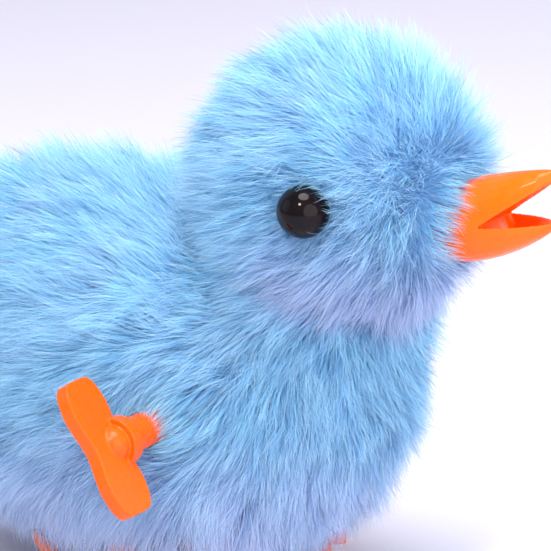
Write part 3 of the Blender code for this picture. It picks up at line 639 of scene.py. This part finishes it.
def fibre_ways(p, n, clump_way, stray, rng):
    """The way each fibre leans, how far it leans from upright and how much it bends over."""
    count = len(p)
    near = beak_nearness(p)
    calm = 0.7 * eye_nearness(p)
    round_key = key_nearness(p)
    swirl = drift(p, rng, WIDE_SWIRL, 9) * 0.50 + drift(p, rng, FINE_SWIRL, 9) * 0.34
    way = flow(p, n) + clump_way + swirl + rng.normal(0, 0.20, size=(count, 3))
    way += 2.5 * round_key[:, None] * unit((KEY_AXIS - p) * (1.0, 0.0, 1.0))
    to_beak = unit((BEAK_ROOT - p) * (0.0, 1.0, 1.0))
    way = way * (1 - near[:, None]) + to_beak * near[:, None]
    way = unit(way - n * (way * n).sum(1, keepdims=True))
    rise = drift(p, rng, RISE_WAVES, 9)[:, 0] * 0.30
    lean = np.where(stray, rng.uniform(0.0, 0.8, count), rng.normal(PILE_LEAN, 0.13, count) + rise)
    lean = lean * (1 - 3.6 * near * (1 - near))
    lean = lean * (1 - calm) * (1 - near) + (BEAK_LEAN + rng.normal(0, 0.15, count)) * near
    lean = lean * (1 - round_key) + KEY_LEAN * round_key
    bend = (1 - 2.4 * near * (1 - near)) * rng.normal(PILE_BEND, 0.22, count)
    bend = bend * (1 - 0.6 * calm) * (1 - 0.5 * near) * (1 - 0.5 * round_key)
    return way, lean, bend


def keep_in_bounds(paths, n):
    """Shortens the fibres that would reach the floor or stand too far off the cloth."""
    root = paths[:, 0] + n * ROOT_DEPTH
    lowest = paths[:, 1:, 2].min(1)
    drop = np.maximum(root[:, 2] - lowest, 1e-6)
    height = ((paths - root[:, None]) * n[:, None]).sum(2).max(1)
    not_high = np.minimum(1.0, PILE_HIGH / np.maximum(height, 1e-6))
    not_low = np.where(lowest < PILE_LOW, np.maximum(root[:, 2] - PILE_LOW, 0.0005) / drop, 1.0)
    return root[:, None] + (paths - root[:, None]) * np.minimum(not_low, not_high)[:, None, None]


def fibre_paths(rng):
    """Each fibre's points from root to tip, with its normal and its clump's tint."""
    p, n = scatter(STRANDS, rng)
    keep = grows(p)
    p, n = p[keep], n[keep]
    count = len(p)
    centres = scatter(CLUMPS, rng)[0]
    own = nearest_clump(p, centres)
    clump_way = rng.normal(0, 0.20, size=(CLUMPS, 3))
    clump_size = rng.normal(1.0, 0.15, size=CLUMPS)
    clump_tint = rng.uniform(size=CLUMPS)
    stray = rng.uniform(size=count) < STRAY_SHARE
    length = pile_length(p) * clump_size[own] * rng.uniform(0.66, 1.14, count)
    length = np.where(stray, length * 1.10, length)
    way, lean, bend = fibre_ways(p, n, clump_way[own], stray, rng)
    paths = [p - n * ROOT_DEPTH]
    for step in range(1, STRAND_STEPS + 1):
        angle = lean + bend * (step - 0.5) / STRAND_STEPS
        move = n * np.cos(angle)[:, None] + way * np.sin(angle)[:, None]
        paths.append(paths[-1] + move * (length / STRAND_STEPS)[:, None])
    paths = np.stack(paths, 1)
    pull = centres[own] - p
    pull -= n * (pull * n).sum(1, keepdims=True)
    gather = np.where(stray, -0.1, rng.uniform(0.10, 0.72, count))
    curl = unit(rng.normal(size=(count, 3)))
    crimp = curl * rng.uniform(*CRIMP, size=(count, 1))
    start = rng.uniform(0, 6.28, count)
    for step in range(1, STRAND_STEPS + 1):
        share = step / STRAND_STEPS
        paths[:, step] += pull * (gather * share**1.5)[:, None]
        paths[:, step] += crimp * (np.sin(start + 5.0 * share) * share)[:, None]
        paths[:, step] = push_clear(paths[:, step])
    return keep_in_bounds(paths, n), n, clump_tint[own]


def fibre_faces(count, per, turned):
    """Triangles of flat fibres with per points each, turned over where asked."""
    pattern = []
    for a in range(0, per - 3, 2):
        pattern += [(a, a + 1, a + 3), (a, a + 3, a + 2)]
    pattern.append((per - 3, per - 2, per - 1))
    faces = np.array(pattern)[None] + (np.arange(count) * per)[:, None, None]
    faces[turned] = faces[turned][:, :, ::-1]
    return faces.reshape(-1, 3)


def fibre_cells(count, per, steps):
    """Texture places that give each fibre a small cell of its own."""
    columns = int(math.ceil(math.sqrt(count * 3.2)))
    rows = int(math.ceil(count / columns))
    cell = np.stack([np.arange(count) % columns, np.arange(count) // columns], 1)
    spread = np.empty((count, per, 2), np.float32)
    spread[..., 0] = (cell[:, :1] + np.where(np.arange(per) % 2 == 0, 0.2, 0.8)) / columns
    spread[..., 1] = (cell[:, 1:] + 0.08 + 0.84 * steps) / rows
    return spread.reshape(-1, 2)


def fibre_mesh(name, paths, normals, tint, lilac_shade_and_patch, rng):
    """One mesh of flat tapering fibres, with shading normals near the cloth's own."""
    count, points = paths.shape[:2]
    along = unit(paths[:, -1] - paths[:, 0])
    across = unit(np.cross(along, normals))
    lift = np.cross(across, along)
    twist = rng.uniform(-1.05, 1.05, size=(count, 1))
    side = across * np.cos(twist) + lift * np.sin(twist)
    width = STRAND_HALF_WIDTH * rng.uniform(0.7, 1.3, count)
    out = side[:, None] * (width[:, None] * STRAND_TAPER)[..., None]
    per = 2 * points - 1
    verts = np.empty((count, per, 3))
    verts[:, 0 : per - 1 : 2] = (paths - out)[:, :-1]
    verts[:, 1 : per - 1 : 2] = (paths + out)[:, :-1]
    verts[:, per - 1] = paths[:, -1]
    facing = np.cross(side, along)
    faces_out = (facing * normals).sum(1) > 0
    faces = fibre_faces(count, per, ~faces_out)
    flat = np.where(faces_out[:, None], facing, -facing)
    shade = unit(normals * 0.62 + flat * 0.38)
    steps = np.repeat(np.arange(points), 2)[:per] / (points - 1)
    colours = np.empty((count, per, 4), np.float32)
    colours[..., 0] = steps
    colours[..., 1] = rng.uniform(size=(count, 1))
    colours[..., 2] = tint[:, None]
    # Alpha: the share of lilac painted shade, with random patches.
    colours[..., 3] = lilac_shade_and_patch[:, None]
    mesh = bpy.data.meshes.new(name)
    mesh.vertices.add(count * per)
    mesh.vertices.foreach_set("co", (verts + SHIFT).astype(np.float32).ravel())
    mesh.loops.add(faces.size)
    mesh.loops.foreach_set("vertex_index", faces.astype(np.int32).ravel())
    mesh.polygons.add(len(faces))
    mesh.polygons.foreach_set("loop_start", np.arange(0, faces.size, 3, dtype=np.int32))
    mesh.update(calc_edges=True)
    attribute = mesh.attributes.new("strand", "FLOAT_COLOR", "POINT")
    attribute.data.foreach_set("color", colours.ravel())
    layer = mesh.uv_layers.new(name="OFBake")
    layer.data.foreach_set("uv", fibre_cells(count, per, steps)[faces.ravel()].ravel())
    custom = mesh.attributes.new("custom_normal", "FLOAT_VECTOR", "POINT")
    custom.data.foreach_set("vector", np.repeat(shade, per, 0).astype(np.float32).ravel())
    mesh.shade_smooth()
    mesh.materials.append(PILE)
    return mesh


def lilac_shade_and_patches(root, normals, rng):
    """How lilac the pile is at each root: painted lavender shade under the chin, where the cloth faces down, and
    low on the body, with slow random patches of tone.
    """
    down = smooth(-normals[:, 2], -0.05, 0.75)
    low = 1 - smooth(root[:, 2], 0.016, 0.034)
    chin = down * smooth(root[:, 2], 0.044, 0.050) * smooth(root[:, 0], 0.008, 0.022)
    patches = drift(root, rng, HUE_WAVES, 7)[:, 0]
    return np.clip(0.85 * chin + 0.75 * low + 0.16 * patches + 0.06, 0, 1)


def make_pile():
    """The pile in twelve pieces, by area and side, each a mesh of fibres."""
    rng = np.random.default_rng(SEED + 2)
    paths, normals, tint = fibre_paths(rng)
    root = paths[:, 0]
    # Lilac painted shade on the undersides, with random patches.
    lilac_shade_and_patch = lilac_shade_and_patches(root, normals, rng)
    x, y, z = root.T
    head = (root - HEART) @ NECK_NORMAL > 0
    area = np.select((head & (x > 0.018), head, x > 0.002, x > -0.022, z > 0.040), range(5), 5)
    for index, word in enumerate(("face", "crown", "chest", "side", "back", "tail")):
        for left, side in ((True, "left"), (False, "right")):
            chosen = (area == index) & ((y > 0) == left)
            name = f"pile_{word}_{side}"
            mesh = fibre_mesh(name, paths[chosen], normals[chosen], tint[chosen], lilac_shade_and_patch[chosen], rng)
            piece = bpy.data.objects.new(name, mesh)
            bpy.context.scene.collection.objects.link(piece)
            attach(piece, "chick")


# ---------------------------------------------------------------- stage, lights and camera

CAMERA_TURN = math.radians(30)
CAMERA_RISE = math.radians(15)
CAMERA_DISTANCE = 0.80
VIEW_WIDTH = 0.0835
AIM_OFFSET = (-0.00947, -0.01477)
VIEW_POINT = np.array((0.0165, 0.0, 0.0665))


def camera_axes():
    a, e = CAMERA_TURN, CAMERA_RISE
    back = np.array((math.sin(a) * math.cos(e), -math.cos(a) * math.cos(e), math.sin(e)))
    right = np.array((math.cos(a), math.sin(a), 0.0))
    up = np.array((-math.sin(a) * math.sin(e), math.cos(a) * math.sin(e), math.cos(e)))
    return back, right, up


def add_camera():
    back, right, up = camera_axes()
    aim = VIEW_POINT + SHIFT + right * AIM_OFFSET[0] + up * AIM_OFFSET[1]
    data = bpy.data.cameras.new("camera")
    data.sensor_width = 36.0
    data.lens = 36.0 * CAMERA_DISTANCE / VIEW_WIDTH
    data.clip_start = 0.01
    data.clip_end = 20.0
    camera = bpy.data.objects.new("camera", data)
    bpy.context.scene.collection.objects.link(camera)
    camera.matrix_world = Matrix(
        [(right[i], up[i], back[i], aim[i] + back[i] * CAMERA_DISTANCE) for i in range(3)] + [(0, 0, 0, 1)]
    )
    bpy.context.scene.camera = camera


def add_light(name, place, target, size, power, colour=(1.0, 1.0, 1.0)):
    data = bpy.data.lights.new(name, "AREA")
    data.shape = "DISK"
    data.size = size
    data.energy = power
    data.color = colour
    light = bpy.data.objects.new(name, data)
    bpy.context.scene.collection.objects.link(light)
    light.location = place
    light.rotation_mode = "QUATERNION"
    light.rotation_quaternion = (Vector(target) - Vector(place)).to_track_quat("-Z", "Y")


def add_stage():
    mesh = bpy.data.meshes.new("floor")
    work = bmesh.new()
    bmesh.ops.create_circle(work, cap_ends=True, segments=96, radius=6.0)
    work.to_mesh(mesh)
    work.free()
    m = Nodes("pale_floor", (0.72, 0.70, 0.80), 0.9)
    m.colour(m.ramp(m.noise(3.0, 2.0), (0.3, (0.71, 0.69, 0.79)), (0.7, (0.73, 0.71, 0.81))))
    mesh.materials.append(m.material)
    floor = bpy.data.objects.new("floor", mesh)
    bpy.context.scene.collection.objects.link(floor)
    world = bpy.context.scene.world or bpy.data.worlds.new("world")
    bpy.context.scene.world = world
    world.use_nodes = True
    sky = world.node_tree.nodes["Background"]
    sky.inputs["Color"].default_value = (0.86, 0.86, 1.0, 1.0)
    sky.inputs["Strength"].default_value = 0.50


def light_scene():
    target = Vector((0.0, 0.0, 0.05))
    back, right, up = camera_axes()
    key_place = target + Vector(back * 0.50 - right * 0.13 + up * 0.31)
    add_light("top", (0.08, -0.08, 0.75), target, 0.45, 5.2)
    add_light("window", key_place, target, 0.10, 1.50, (1.0, 0.98, 0.96))
    add_light("fill", (-0.55, -0.35, 0.30), target, 0.50, 0.40, (0.92, 0.94, 1.0))
    add_light("front", (0.60, -0.30, 0.20), target, 0.80, 3.6)
    add_light("back", (0.45, 0.45, 0.50), target, 0.50, 2.3)


bpy.context.scene.view_settings.view_transform = "Standard"
add_camera()
add_stage()
light_scene()
dress_nodes()
make_backing()
make_filling()
make_moulded("beak", "chick", 0.00013, 4, ORANGE)
make_moulded("winding_key", "key", 0.00017, 3, ORANGE_KEY)
make_moulded("leg_left", "leg_left", 0.00030, 2, ORANGE_MATTE)
make_moulded("leg_right", "leg_right", 0.00030, 2, ORANGE_MATTE)
make_bead(1, "left")
make_bead(-1, "right")
make_pile()
